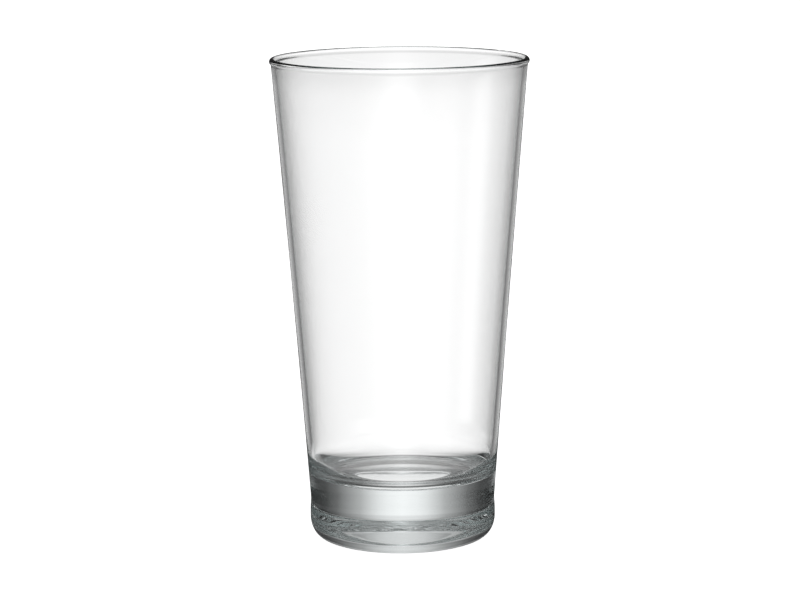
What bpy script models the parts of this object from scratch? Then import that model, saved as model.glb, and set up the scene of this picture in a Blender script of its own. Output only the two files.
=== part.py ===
"""A pressed mixing glass: one turned piece of clear soda-lime glass, standing on +Z.

Outside, from the top: a fire-polished bead at the rim, a straight taper, an almost upright
band round the solid base, and a rounded heel. Inside: a straight tapered cavity with a
rounded bottom corner. Underneath, a narrow seat runs in from the heel to a flat bearing
ring, which surrounds a shallow domed recess.
Lengths are in metres. The origin is on the axis, in the plane of the bearing ring.
"""

from math import atan, cos, degrees, pi, radians, sin

import bpy

# Overall size
HEIGHT = 0.1694
RIM_RADIUS = 0.0450

# Fire-polished bead at the rim
BEAD_PROUD = 0.00065
BEAD_HALF_HEIGHT = 0.00125
BEAD_FOOT_DROP = 0.00270
LIP_DROP = 0.00170

# Tapered wall
WALL_THICKNESS_TOP = 0.00160
WALL_THICKNESS_FOOT = 0.00210
WAIST_RADIUS = 0.0325
WAIST_HEIGHT = 0.0140

# Solid base
BASE_RADIUS = 0.0327
BASE_WIDEST_HEIGHT = 0.0095
HEEL_WIDTH = 0.0050
HEEL_HEIGHT = 0.0069
FLOOR_HEIGHT = 0.0222
FLOOR_CORNER = 0.0091

# Underside: a seat just clear of the ground, the bearing ring and the recess inside it
SEAT_HEIGHT = 0.0002
RING_RADIUS = 0.0223
RING_EDGE = 0.0006
RING_WIDTH = 0.0034
RECESS_DEPTH = 0.0020

# Facets
SIDES = 80
LIP_STEPS = 4
FOOT_STEPS = 4
BAND_STEPS = 3
HEEL_STEPS = 8
CORNER_STEPS = 7
DOME_STEPS = 5
MERGE_DISTANCE = 0.00001

# Clear glass
GLASS_COLOUR = (0.93, 0.95, 0.94, 1.0)
GLASS_ROUGHNESS = 0.03
GLASS_IOR = 1.52


def arc(centre, radii, start, end, steps):
    """Points on an ellipse about centre, from the start angle to the end angle in degrees."""
    points = []
    for step in range(steps + 1):
        angle = radians(start + (end - start) * step / steps)
        points.append((centre[0] + radii[0] * cos(angle), centre[1] + radii[1] * sin(angle)))
    return points


def blend(start, end, steps):
    """Points after start on an S-shaped run down to end, upright at both ends."""
    points = []
    for step in range(1, steps + 1):
        share = step / steps
        eased = (1 - cos(pi * share)) / 2
        x = start[0] + (end[0] - start[0]) * eased
        z = start[1] + (end[1] - start[1]) * share
        points.append((x, z))
    return points


def cavity_points():
    """The inside, from the middle of the floor up to the lip."""
    wall_top = RIM_RADIUS - BEAD_PROUD - WALL_THICKNESS_TOP
    wall_foot = WAIST_RADIUS - WALL_THICKNESS_FOOT
    slope = (wall_top - wall_foot) / (HEIGHT - WAIST_HEIGHT)
    lean = atan(slope)
    centre_z = FLOOR_HEIGHT + FLOOR_CORNER
    centre_x = wall_foot + slope * (centre_z - WAIST_HEIGHT) - FLOOR_CORNER / cos(lean)
    corner = arc((centre_x, centre_z), (FLOOR_CORNER, FLOOR_CORNER), -90, -degrees(lean), CORNER_STEPS)
    return [(0.0, FLOOR_HEIGHT)] + corner


def rim_points():
    """The lip over the top, the bead and its foot on the outer wall."""
    lip_x = RIM_RADIUS - BEAD_PROUD - WALL_THICKNESS_TOP
    crown_x = (lip_x + RIM_RADIUS) / 2
    half_width = RIM_RADIUS - crown_x
    inner = arc((crown_x, HEIGHT - LIP_DROP), (half_width, LIP_DROP), 180, 90, LIP_STEPS)
    outer = arc((crown_x, HEIGHT - BEAD_HALF_HEIGHT), (half_width, BEAD_HALF_HEIGHT), 90, 0, LIP_STEPS)
    foot = (RIM_RADIUS - BEAD_PROUD, HEIGHT - BEAD_FOOT_DROP)
    return inner + outer[1:] + blend(outer[-1], foot, FOOT_STEPS)


def base_points():
    """The waist, the upright band, the heel, the seat, the bearing ring and the recess."""
    waist = (WAIST_RADIUS, WAIST_HEIGHT)
    band = [waist] + blend(waist, (BASE_RADIUS, BASE_WIDEST_HEIGHT), BAND_STEPS)
    heel_centre = (BASE_RADIUS - HEEL_WIDTH, SEAT_HEIGHT + HEEL_HEIGHT)
    heel = arc(heel_centre, (HEEL_WIDTH, HEEL_HEIGHT), 0, -90, HEEL_STEPS)
    seat = [(RING_RADIUS + RING_EDGE / 2, SEAT_HEIGHT), (RING_RADIUS - RING_EDGE / 2, 0.0)]
    dome = arc((0.0, 0.0), (RING_RADIUS - RING_WIDTH, RECESS_DEPTH), 0, 90, DOME_STEPS)
    return band + heel + seat + dome


def make_glass_material():
    material = bpy.data.materials.new("clear_glass")
    material.use_nodes = True
    shader = material.node_tree.nodes["Principled BSDF"]
    shader.inputs["Base Color"].default_value = GLASS_COLOUR
    shader.inputs["Roughness"].default_value = GLASS_ROUGHNESS
    shader.inputs["Metallic"].default_value = 0.0
    shader.inputs["IOR"].default_value = GLASS_IOR
    shader.inputs["Transmission Weight"].default_value = 1.0
    return material


def make_glass_body():
    """Turns the closed profile about Z. It runs up the inside and down the outside."""
    profile = cavity_points() + rim_points() + base_points()
    profile[-1] = (0.0, RECESS_DEPTH)
    mesh = bpy.data.meshes.new("glass_body")
    edges = [(index, index + 1) for index in range(len(profile) - 1)]
    mesh.from_pydata([(x, 0.0, z) for x, z in profile], edges, [])
    body = bpy.data.objects.new("glass_body", mesh)
    bpy.context.collection.objects.link(body)
    screw = body.modifiers.new("turn", "SCREW")
    screw.axis = "Z"
    screw.steps = SIDES
    screw.render_steps = SIDES
    screw.use_smooth_shade = True
    screw.use_merge_vertices = True
    screw.merge_threshold = MERGE_DISTANCE
    body.data.materials.append(make_glass_material())
    return body


def main():
    for existing in list(bpy.data.objects):
        bpy.data.objects.remove(existing)
    make_glass_body()


main()
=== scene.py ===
"""Looks for the mixing glass: a finely turned glass body, its clear glass material,
a pale floor, a soft bright-field studio and the camera. Lengths are in metres."""

from math import atan, cos, degrees, pi, radians, sin

import bmesh
import bpy
from mathutils import Matrix, Vector


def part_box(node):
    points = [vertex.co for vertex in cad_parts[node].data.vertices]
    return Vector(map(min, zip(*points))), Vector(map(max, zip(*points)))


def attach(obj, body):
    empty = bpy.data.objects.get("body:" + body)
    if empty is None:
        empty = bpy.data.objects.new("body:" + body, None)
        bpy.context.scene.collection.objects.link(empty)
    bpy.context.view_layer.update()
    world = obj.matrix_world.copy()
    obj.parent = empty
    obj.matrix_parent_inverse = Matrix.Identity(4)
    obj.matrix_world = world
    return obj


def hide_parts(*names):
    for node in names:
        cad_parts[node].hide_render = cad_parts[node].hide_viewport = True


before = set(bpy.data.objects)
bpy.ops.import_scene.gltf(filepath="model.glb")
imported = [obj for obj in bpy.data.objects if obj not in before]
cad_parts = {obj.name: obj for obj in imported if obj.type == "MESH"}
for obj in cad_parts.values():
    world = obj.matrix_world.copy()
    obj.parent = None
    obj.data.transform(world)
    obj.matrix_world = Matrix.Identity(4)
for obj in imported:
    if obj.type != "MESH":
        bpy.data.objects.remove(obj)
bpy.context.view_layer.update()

# ---------------------------------------------------------------- the turned shape
CAD_NODE = "glass_body"
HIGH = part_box(CAD_NODE)[1]
HEIGHT = HIGH.z
RIM_RADIUS = HIGH.x

# fire-polished bead at the rim
BEAD_PROUD = 0.00065
BEAD_HALF_HEIGHT = 0.00125
BEAD_FOOT_DROP = 0.00270
LIP_DROP = 0.00170

# tapered wall, which bows slightly inward
WALL_THICKNESS_TOP = 0.00160
WALL_THICKNESS_FOOT = 0.00210
WALL_BOW = 0.0002
WAIST_RADIUS = 0.0325
WAIST_HEIGHT = 0.0140

# solid base
BASE_RADIUS = 0.0327
BASE_WIDEST_HEIGHT = 0.0095
HEEL_WIDTH = 0.0050
HEEL_HEIGHT = 0.0069
FLOOR_HEIGHT = 0.0222
FLOOR_CORNER = 0.0091

# underside: a seat just clear of the ground, the bearing ring and the recess inside it
SEAT_HEIGHT = 0.0002
RING_RADIUS = 0.0223
RING_EDGE = 0.0006
RING_WIDTH = 0.0034
RECESS_DEPTH = 0.0020

# facets
SIDES = 512
FLOOR_STEPS = 8
CORNER_STEPS = 24
WALL_STEPS = 20
LIP_STEPS = 12
FOOT_STEPS = 10
BAND_STEPS = 8
HEEL_STEPS = 40
SEAT_STEPS = 4
EDGE_STEPS = 6
RING_STEPS = 4
DOME_STEPS = 20

# ---------------------------------------------------------------- the surface
GLASS_IOR = 1.52
GLASS_TINT = (0.88, 0.90, 0.90, 1.0)
GLASS_DENSITY = 28.0

# stippled underside, with painted shade in its grey colour
STIPPLE_TOP = 0.0003
STIPPLE_TOP_FADE = 0.0002
STIPPLE_RADIUS = 0.0256
STIPPLE_RADIUS_FADE = 0.0004
STIPPLE_ROUGHNESS = 0.25
STIPPLE_SCALE = 900.0
STIPPLE_DETAIL = 1.0
STIPPLE_DEPTH = 0.0006
# grey painted shade: the shaded table seen through the bearing ring, painted into the glass colour
STIPPLE_PAINTED_SHADE = (0.40, 0.42, 0.42, 1.0)

# press marks round the foot, swirls in the wall, handling marks
PRESS_TOP = 0.0040
PRESS_SCALE = 260.0
PRESS_DETAIL = 2.0
PRESS_DEPTH = 0.00012
SWIRL_SCALE = 22.0
SWIRL_DETAIL = 1.0
SWIRL_DEPTH = 0.00005
MARKS_SCALE = 60.0
MARKS_DETAIL = 3.0
MARKS_ROUGHNESS = 0.010

WHITE = (1.0, 1.0, 1.0, 1.0)

# ---------------------------------------------------------------- the studio
# Screens stand all round the glass. The first table of a pair goes by degrees of azimuth from
# the middle of the screen, the second by degrees of elevation. A brightness is their product.
FRONT_SCREEN = [
    (0.0, 1.18),
    (6.0, 1.10),
    (10.0, 0.97),
    (14.0, 0.78),
    (19.0, 0.54),
    (25.0, 0.38),
    (34.0, 0.17),
    (45.0, 0.06),
    (60.0, 0.02),
    (180.0, 0.01),
]
FRONT_HEIGHT = [
    (-90.0, 0.80),
    (-65.0, 0.75),
    (-50.0, 0.84),
    (-40.0, 0.92),
    (-30.0, 0.97),
    (-13.0, 1.0),
    (-7.0, 1.0),
    (-6.0, 0.95),
    (-5.2, 0.87),
    (-4.0, 0.84),
    (3.0, 0.84),
    (7.0, 0.76),
    (14.0, 0.70),
    (22.0, 0.70),
    (30.0, 0.90),
    (90.0, 0.90),
]
SIDE_SCREEN = [
    (0.0, 1.18),
    (7.0, 1.05),
    (12.0, 0.62),
    (18.0, 0.20),
    (26.0, 0.0),
    (180.0, 0.0),
]
SIDE_HEIGHT = [
    (-90.0, 0.0),
    (-9.0, 0.0),
    (-7.5, 1.0),
    (2.5, 1.0),
    (4.0, 0.0),
    (90.0, 0.0),
]
LOW_SCREEN = [
    (0.0, 1.15),
    (8.0, 1.08),
    (18.0, 0.60),
    (32.0, 0.10),
    (45.0, 0.0),
    (180.0, 0.0),
]
LOW_HEIGHT = [
    (-90.0, 0.5),
    (-34.0, 0.9),
    (-29.0, 1.0),
    (-17.5, 1.0),
    (-16.0, 0.0),
    (90.0, 0.0),
]
LOW_BACK_HEIGHT = [
    (-90.0, 0.0),
    (-24.0, 0.0),
    (-20.0, 1.0),
    (-10.0, 1.0),
    (-8.0, 0.0),
    (90.0, 0.0),
]
TOP_SCREEN = [
    (0.0, 0.90),
    (20.0, 0.62),
    (45.0, 0.34),
    (90.0, 0.34),
    (180.0, 0.34),
]
TOP_HEIGHT = [
    (-90.0, 0.0),
    (10.0, 0.0),
    (22.0, 1.0),
    (90.0, 1.0),
]
# azimuth of a screen's middle, azimuth at which it repeats mirrored, its two tables
SCREENS = (
    (0.0, 90.0, FRONT_SCREEN, FRONT_HEIGHT),
    (-90.0, 180.0, SIDE_SCREEN, SIDE_HEIGHT),
    (-45.0, 180.0, LOW_SCREEN, LOW_HEIGHT),
    (135.0, 180.0, LOW_SCREEN, LOW_BACK_HEIGHT),
    (0.0, 90.0, TOP_SCREEN, TOP_HEIGHT),
)
TABLE_HEIGHT = [  # degrees of elevation, brightness of the bright table below
    (-90.0, 1.1),
    (-60.0, 1.1),
    (-45.0, 0.5),
    (-32.0, 0.0),
    (90.0, 0.0),
]
GLINT_SCREEN = [  # degrees of azimuth from straight behind, brightness in plain reflections
    (0.0, 0.04),
    (40.0, 0.04),
    (120.0, 0.06),
    (150.0, 0.25),
    (180.0, 0.40),
]

FLOOR_RADIUS = 8.0
FLOOR_COLOUR = (0.9, 0.9, 0.9, 1.0)
FLOOR_ROUGHNESS = 0.9
FLOOR_GLOW = 0.95
DISC_SEGMENTS = 96

# the shaded table right under the glass, by millimetres from the axis or to either side
SHADE_RADIUS = 0.05
SHADE_HEIGHT = -0.0002
MILLIMETRES = 1000.0
RECESS_LIGHT = [  # from the axis, brightness of the table under the recess
    (0.0, 0.95),
    (18.5, 0.90),
    (19.5, 0.0),
    (50.0, 0.0),
]
RING_LIGHT = [  # from the axis, brightness of the shaded table around it
    (0.0, 0.0),
    (18.5, 0.0),
    (19.5, 0.34),
    (24.5, 0.34),
    (25.5, 0.85),
    (30.0, 0.85),
    (31.5, 0.15),
    (50.0, 0.12),
]
SIDE_SHADE = [  # to either side, share of the shaded table's brightness
    (0.0, 1.0),
    (8.0, 0.80),
    (14.0, 0.50),
    (20.0, 0.22),
    (26.0, 0.12),
    (50.0, 0.10),
]
SHADE_EDGE = [  # from the axis, how much the shade covers the table
    (0.0, 1.0),
    (36.0, 1.0),
    (44.0, 0.0),
    (50.0, 0.0),
]

# ---------------------------------------------------------------- the camera
CAMERA_ELEVATION = 10.05
CAMERA_DISTANCE = 0.965
CAMERA_ROLL = 0.44
FRAME_WIDTH = 0.2804
FOCUS_X = -0.0004
FOCUS_Z = 0.0842
SENSOR = 36.0
CLIP_START = 0.05
CLIP_END = 50.0

# light runs many times along inside the wall before it leaves at the rim
LIGHT_BOUNCES = 96


# ---------------------------------------------------------------- profile
def arc(centre, radii, start, end, steps):
    """Points on an ellipse about centre, from the start angle to the end angle in degrees."""
    points = []
    for step in range(steps + 1):
        angle = radians(start + (end - start) * step / steps)
        points.append((centre[0] + radii[0] * cos(angle), centre[1] + radii[1] * sin(angle)))
    return points


def blend(start, end, steps):
    """Points after start on an S-shaped run down to end, upright at both ends."""
    points = []
    for step in range(1, steps + 1):
        share = step / steps
        eased = (1 - cos(pi * share)) / 2
        x = start[0] + (end[0] - start[0]) * eased
        z = start[1] + (end[1] - start[1]) * share
        points.append((x, z))
    return points


def between(start, end, steps, bow=0.0):
    """Points between start and end, without either of them, on a run that bows toward the axis."""
    points = []
    for step in range(1, steps):
        share = step / steps
        x = start[0] + (end[0] - start[0]) * share - bow * 4 * share * (1 - share)
        z = start[1] + (end[1] - start[1]) * share
        points.append((x, z))
    return points


def cavity_points():
    """The floor of the cavity from the axis outward, and its rounded corner."""
    lip_x = RIM_RADIUS - BEAD_PROUD - WALL_THICKNESS_TOP
    foot_x = WAIST_RADIUS - WALL_THICKNESS_FOOT
    slope = (lip_x - foot_x) / (HEIGHT - WAIST_HEIGHT)
    lean = atan(slope)
    corner_z = FLOOR_HEIGHT + FLOOR_CORNER
    corner_x = foot_x + slope * (corner_z - WAIST_HEIGHT) - FLOOR_CORNER / cos(lean)
    radii = (FLOOR_CORNER, FLOOR_CORNER)
    corner = arc((corner_x, corner_z), radii, -90, -degrees(lean), CORNER_STEPS)
    middle = (0.0, FLOOR_HEIGHT)
    return [middle] + between(middle, corner[0], FLOOR_STEPS) + corner


def rim_points():
    """The lip over the top, the bead and its foot on the outer wall."""
    lip_x = RIM_RADIUS - BEAD_PROUD - WALL_THICKNESS_TOP
    crown_x = (lip_x + RIM_RADIUS) / 2
    half_width = RIM_RADIUS - crown_x
    inner = arc((crown_x, HEIGHT - LIP_DROP), (half_width, LIP_DROP), 180, 90, LIP_STEPS)
    bead_centre = (crown_x, HEIGHT - BEAD_HALF_HEIGHT)
    outer = arc(bead_centre, (half_width, BEAD_HALF_HEIGHT), 90, 0, LIP_STEPS)
    foot = (RIM_RADIUS - BEAD_PROUD, HEIGHT - BEAD_FOOT_DROP)
    return inner + outer[1:] + blend(outer[-1], foot, FOOT_STEPS)


def ring_edge_points():
    """The rounded step from the seat down to the bearing ring."""
    points = []
    for step in range(EDGE_STEPS + 1):
        x = RING_RADIUS + RING_EDGE * (0.5 - step / EDGE_STEPS)
        z = SEAT_HEIGHT * (1 + cos(pi * step / EDGE_STEPS)) / 2
        points.append((x, z))
    return points


def base_points():
    """The waist, the upright band, the heel, the seat, the bearing ring and the recess."""
    waist = (WAIST_RADIUS, WAIST_HEIGHT)
    band = [waist] + blend(waist, (BASE_RADIUS, BASE_WIDEST_HEIGHT), BAND_STEPS)
    heel_centre = (BASE_RADIUS - HEEL_WIDTH, SEAT_HEIGHT + HEEL_HEIGHT)
    heel = arc(heel_centre, (HEEL_WIDTH, HEEL_HEIGHT), 0, -90, HEEL_STEPS)
    seat = between(heel[-1], (RING_RADIUS + RING_EDGE / 2, SEAT_HEIGHT), SEAT_STEPS)
    edge = ring_edge_points()
    dome = arc((0.0, 0.0), (RING_RADIUS - RING_WIDTH, RECESS_DEPTH), 0, 90, DOME_STEPS)
    dome[-1] = (0.0, RECESS_DEPTH)
    return band + heel + seat + edge + between(edge[-1], dome[0], RING_STEPS) + dome


def profile():
    """The closed profile: up the inside, over the rim, down the outside and in underneath."""
    cavity = cavity_points()
    rim = rim_points()
    base = base_points()
    inner_wall = between(cavity[-1], rim[0], WALL_STEPS, WALL_BOW)
    outer_wall = between(rim[-1], base[0], WALL_STEPS, WALL_BOW)
    return cavity + inner_wall + rim + outer_wall + base


# ---------------------------------------------------------------- mesh helpers
def link_mesh(name, shape):
    """A new object made from a bmesh, which is freed."""
    mesh = bpy.data.meshes.new(name)
    shape.to_mesh(mesh)
    shape.free()
    body = bpy.data.objects.new(name, mesh)
    bpy.context.collection.objects.link(body)
    return body


def turn(name, points, sides):
    """A closed body of revolution about Z from a profile that starts and ends on the axis."""
    shape = bmesh.new()
    first = shape.verts.new((0.0, 0.0, points[0][1]))
    last = shape.verts.new((0.0, 0.0, points[-1][1]))
    rings = []
    for radius, z in points[1:-1]:
        ring = []
        for side in range(sides):
            angle = 2 * pi * side / sides
            ring.append(shape.verts.new((radius * cos(angle), radius * sin(angle), z)))
        rings.append(ring)
    for side in range(sides):
        after = (side + 1) % sides
        shape.faces.new((first, rings[0][side], rings[0][after]))
        shape.faces.new((last, rings[-1][after], rings[-1][side]))
        for inner, outer in zip(rings, rings[1:]):
            shape.faces.new((inner[side], outer[side], outer[after], inner[after]))
    bmesh.ops.recalc_face_normals(shape, faces=shape.faces)
    for face in shape.faces:
        face.smooth = True
    return link_mesh(name, shape)


def disc(name, radius):
    shape = bmesh.new()
    bmesh.ops.create_circle(shape, cap_ends=True, segments=DISC_SEGMENTS, radius=radius)
    return link_mesh(name, shape)


# ---------------------------------------------------------------- shader helpers
def math_node(tree, operation, *values):
    node = tree.nodes.new("ShaderNodeMath")
    node.operation = operation
    for socket, value in zip(node.inputs, values):
        if isinstance(value, (int, float)):
            socket.default_value = value
        else:
            tree.links.new(value, socket)
    return node.outputs["Value"]


def fade_node(tree, value, full, none):
    """1 where the value reaches full, 0 where it reaches none."""
    node = tree.nodes.new("ShaderNodeMapRange")
    node.inputs["From Min"].default_value = none
    node.inputs["From Max"].default_value = full
    tree.links.new(value, node.inputs["Value"])
    return node.outputs["Result"]


def length_node(tree, vector):
    node = tree.nodes.new("ShaderNodeVectorMath")
    node.operation = "LENGTH"
    tree.links.new(vector, node.inputs[0])
    return node.outputs["Value"]


def noise_node(tree, coords, scale, detail):
    node = tree.nodes.new("ShaderNodeTexNoise")
    node.inputs["Scale"].default_value = scale
    node.inputs["Detail"].default_value = detail
    tree.links.new(coords.outputs["Object"], node.inputs["Vector"])
    return node.outputs["Fac"]


def bump_node(tree, height, depth, strength, under):
    """A bump of a given depth in metres, laid over the bump under it."""
    node = tree.nodes.new("ShaderNodeBump")
    node.inputs["Distance"].default_value = depth
    if isinstance(strength, float):
        node.inputs["Strength"].default_value = strength
    else:
        tree.links.new(strength, node.inputs["Strength"])
    tree.links.new(height, node.inputs["Height"])
    if under is not None:
        tree.links.new(under, node.inputs["Normal"])
    return node.outputs["Normal"]


def curve_node(tree, value, table):
    """A brightness that follows a table of (place, brightness) in straight runs."""
    low, high = table[0][0], table[-1][0]
    node = tree.nodes.new("ShaderNodeFloatCurve")
    curve = node.mapping.curves[0]
    node.mapping.use_clip = False
    while len(curve.points) > 2:
        curve.points.remove(curve.points[-1])
    for index, (angle, brightness) in enumerate(table):
        place = (angle - low) / (high - low)
        if index == 0:
            point = curve.points[0]
        elif index == len(table) - 1:
            point = curve.points[len(curve.points) - 1]
        else:
            point = curve.points.new(place, brightness / 2)
        point.location = (place, brightness / 2)
        point.handle_type = "VECTOR"
    node.mapping.update()
    share = math_node(tree, "SUBTRACT", value, low)
    share = math_node(tree, "DIVIDE", share, high - low)
    tree.links.new(share, node.inputs["Value"])
    return math_node(tree, "MULTIPLY", node.outputs["Value"], 2.0)


def background_node(tree, strength):
    node = tree.nodes.new("ShaderNodeBackground")
    node.inputs["Color"].default_value = WHITE
    if isinstance(strength, float):
        node.inputs["Strength"].default_value = strength
    else:
        tree.links.new(strength, node.inputs["Strength"])
    return node.outputs[0]


def mix_shader(tree, share, first, second):
    node = tree.nodes.new("ShaderNodeMixShader")
    for socket, source in zip(node.inputs, (share, first, second)):
        tree.links.new(source, socket)
    return node.outputs[0]


# ---------------------------------------------------------------- glass
def glass_material():
    material = bpy.data.materials.new("clear_glass")
    material.use_nodes = True
    tree = material.node_tree
    shader = tree.nodes["Principled BSDF"]
    shader.inputs["IOR"].default_value = GLASS_IOR
    shader.inputs["Transmission Weight"].default_value = 1.0
    coords = tree.nodes.new("ShaderNodeTexCoord")
    split = tree.nodes.new("ShaderNodeSeparateXYZ")
    tree.links.new(coords.outputs["Object"], split.inputs["Vector"])

    # where the stipple and its painted shade lie: low down and near the axis
    low = fade_node(tree, split.outputs["Z"], STIPPLE_TOP, STIPPLE_TOP + STIPPLE_TOP_FADE)
    flat = tree.nodes.new("ShaderNodeVectorMath")
    flat.operation = "MULTIPLY"
    flat.inputs[1].default_value = (1.0, 1.0, 0.0)
    tree.links.new(coords.outputs["Object"], flat.inputs[0])
    spread = length_node(tree, flat.outputs["Vector"])
    near = fade_node(tree, spread, STIPPLE_RADIUS, STIPPLE_RADIUS + STIPPLE_RADIUS_FADE)
    stipple_and_shade = math_node(tree, "MULTIPLY", low, near)

    # painted shade: the stippled ring's colour is greyed to darken it like the shaded table under
    # it
    painted_shade_tint = tree.nodes.new("ShaderNodeMix")
    painted_shade_tint.data_type = "RGBA"
    painted_shade_tint.inputs["A"].default_value = WHITE
    painted_shade_tint.inputs["B"].default_value = STIPPLE_PAINTED_SHADE
    tree.links.new(stipple_and_shade, painted_shade_tint.inputs["Factor"])
    tree.links.new(painted_shade_tint.outputs["Result"], shader.inputs["Base Color"])

    # roughness: a trace of handling marks on the polished surface, frosted on the stipple
    marks = noise_node(tree, coords, MARKS_SCALE, MARKS_DETAIL)
    marks = math_node(tree, "MULTIPLY", marks, MARKS_ROUGHNESS)
    frost = math_node(tree, "MULTIPLY", stipple_and_shade, STIPPLE_ROUGHNESS)
    tree.links.new(math_node(tree, "ADD", marks, frost), shader.inputs["Roughness"])

    # bump: long swirls in the wall, the press marks of the foot, the grain of the stipple
    foot = fade_node(tree, split.outputs["Z"], PRESS_TOP / 3, PRESS_TOP)
    swirl = noise_node(tree, coords, SWIRL_SCALE, SWIRL_DETAIL)
    swirl = bump_node(tree, swirl, SWIRL_DEPTH, 1.0, None)
    press = noise_node(tree, coords, PRESS_SCALE, PRESS_DETAIL)
    press = bump_node(tree, press, PRESS_DEPTH, foot, swirl)
    grain = noise_node(tree, coords, STIPPLE_SCALE, STIPPLE_DETAIL)
    grain = bump_node(tree, grain, STIPPLE_DEPTH, stipple_and_shade, press)
    tree.links.new(grain, shader.inputs["Normal"])

    volume = tree.nodes.new("ShaderNodeVolumeAbsorption")
    volume.inputs["Color"].default_value = GLASS_TINT
    volume.inputs["Density"].default_value = GLASS_DENSITY
    tree.links.new(volume.outputs["Volume"], tree.nodes["Material Output"].inputs["Volume"])
    return material


# ---------------------------------------------------------------- studio
def studio_world():
    """Screens and a bright table for the light that passes through the glass, dimmer
    surroundings for plain reflections, and plain white behind the glass."""
    world = bpy.data.worlds.new("studio")
    bpy.context.scene.world = world
    world.use_nodes = True
    tree = world.node_tree
    tree.nodes.clear()
    coords = tree.nodes.new("ShaderNodeTexCoord")
    split = tree.nodes.new("ShaderNodeSeparateXYZ")
    tree.links.new(coords.outputs["Generated"], split.inputs["Vector"])
    azimuth = math_node(tree, "ARCTAN2", split.outputs["X"], split.outputs["Y"])
    azimuth = math_node(tree, "DEGREES", azimuth)
    elevation = math_node(tree, "ARCSINE", split.outputs["Z"])
    elevation = math_node(tree, "DEGREES", elevation)
    brightness = curve_node(tree, elevation, TABLE_HEIGHT)
    for middle, fold, around, height in SCREENS:
        turned = math_node(tree, "SUBTRACT", azimuth, middle)
        turned = math_node(tree, "PINGPONG", turned, fold)
        across = curve_node(tree, turned, around)
        screen = math_node(tree, "MULTIPLY", across, curve_node(tree, elevation, height))
        brightness = math_node(tree, "MAXIMUM", brightness, screen)
    through = background_node(tree, brightness)
    turned = math_node(tree, "ABSOLUTE", azimuth)
    glints = background_node(tree, curve_node(tree, turned, GLINT_SCREEN))
    path = tree.nodes.new("ShaderNodeLightPath")
    glossy = path.outputs["Is Glossy Ray"]
    mirrored = math_node(tree, "MINIMUM", glossy, path.outputs["Is Reflection Ray"])
    lit = mix_shader(tree, mirrored, through, glints)
    seen = background_node(tree, 1.0)
    output = tree.nodes.new("ShaderNodeOutputWorld")
    surface = mix_shader(tree, path.outputs["Is Camera Ray"], lit, seen)
    tree.links.new(surface, output.inputs["Surface"])


def make_floor():
    """A pale floor that the glass doesn't show: the studio's tables stand for it there."""
    floor = disc("floor", FLOOR_RADIUS)
    material = bpy.data.materials.new("pale_floor")
    material.use_nodes = True
    shader = material.node_tree.nodes["Principled BSDF"]
    shader.inputs["Base Color"].default_value = FLOOR_COLOUR
    shader.inputs["Roughness"].default_value = FLOOR_ROUGHNESS
    shader.inputs["Emission Color"].default_value = WHITE
    shader.inputs["Emission Strength"].default_value = FLOOR_GLOW
    floor.data.materials.append(material)
    floor.visible_transmission = False
    floor.visible_glossy = False


def make_contact_shade():
    """The table right under the glass, as the glass itself shows it."""
    shade = disc("contact_shade", SHADE_RADIUS)
    shade.location.z = SHADE_HEIGHT
    material = bpy.data.materials.new("contact_shade")
    material.use_nodes = True
    tree = material.node_tree
    tree.nodes.clear()
    coords = tree.nodes.new("ShaderNodeTexCoord")
    split = tree.nodes.new("ShaderNodeSeparateXYZ")
    tree.links.new(coords.outputs["Object"], split.inputs["Vector"])
    radius = length_node(tree, coords.outputs["Object"])
    radius = math_node(tree, "MULTIPLY", radius, MILLIMETRES)
    across = math_node(tree, "ABSOLUTE", split.outputs["X"])
    across = math_node(tree, "MULTIPLY", across, MILLIMETRES)
    sides = curve_node(tree, across, SIDE_SHADE)
    ring = math_node(tree, "MULTIPLY", curve_node(tree, radius, RING_LIGHT), sides)
    light = math_node(tree, "MAXIMUM", ring, curve_node(tree, radius, RECESS_LIGHT))
    glow = tree.nodes.new("ShaderNodeEmission")
    tree.links.new(light, glow.inputs["Strength"])
    clear = tree.nodes.new("ShaderNodeBsdfTransparent")
    cover = curve_node(tree, radius, SHADE_EDGE)
    surface = mix_shader(tree, cover, clear.outputs[0], glow.outputs[0])
    output = tree.nodes.new("ShaderNodeOutputMaterial")
    tree.links.new(surface, output.inputs["Surface"])
    shade.data.materials.append(material)
    shade.visible_camera = False
    shade.visible_diffuse = False
    shade.visible_glossy = False
    shade.visible_shadow = False


# ---------------------------------------------------------------- camera
def make_camera():
    elevation = radians(CAMERA_ELEVATION)
    data = bpy.data.cameras.new("camera")
    data.sensor_width = SENSOR
    data.lens = SENSOR * CAMERA_DISTANCE / FRAME_WIDTH
    data.clip_start = CLIP_START
    data.clip_end = CLIP_END
    camera = bpy.data.objects.new("camera", data)
    bpy.context.collection.objects.link(camera)
    back = Vector((0.0, -cos(elevation), sin(elevation)))
    camera.matrix_world = (
        Matrix.Translation(Vector((FOCUS_X, 0.0, FOCUS_Z)) + back * CAMERA_DISTANCE)
        @ Matrix.Rotation(pi / 2 - elevation, 4, "X")
        @ Matrix.Rotation(-radians(CAMERA_ROLL), 4, "Z")
    )
    bpy.context.scene.camera = camera


# ---------------------------------------------------------------- scene
glass = turn("mixing_glass", profile(), SIDES)
glass.data.materials.append(glass_material())
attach(glass, "root")
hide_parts(CAD_NODE)
studio_world()
make_floor()
make_contact_shade()
make_camera()
scene = bpy.context.scene
scene.view_settings.view_transform = "Standard"
scene.cycles.max_bounces = LIGHT_BOUNCES
scene.cycles.transmission_bounces = LIGHT_BOUNCES
scene.cycles.glossy_bounces = LIGHT_BOUNCES
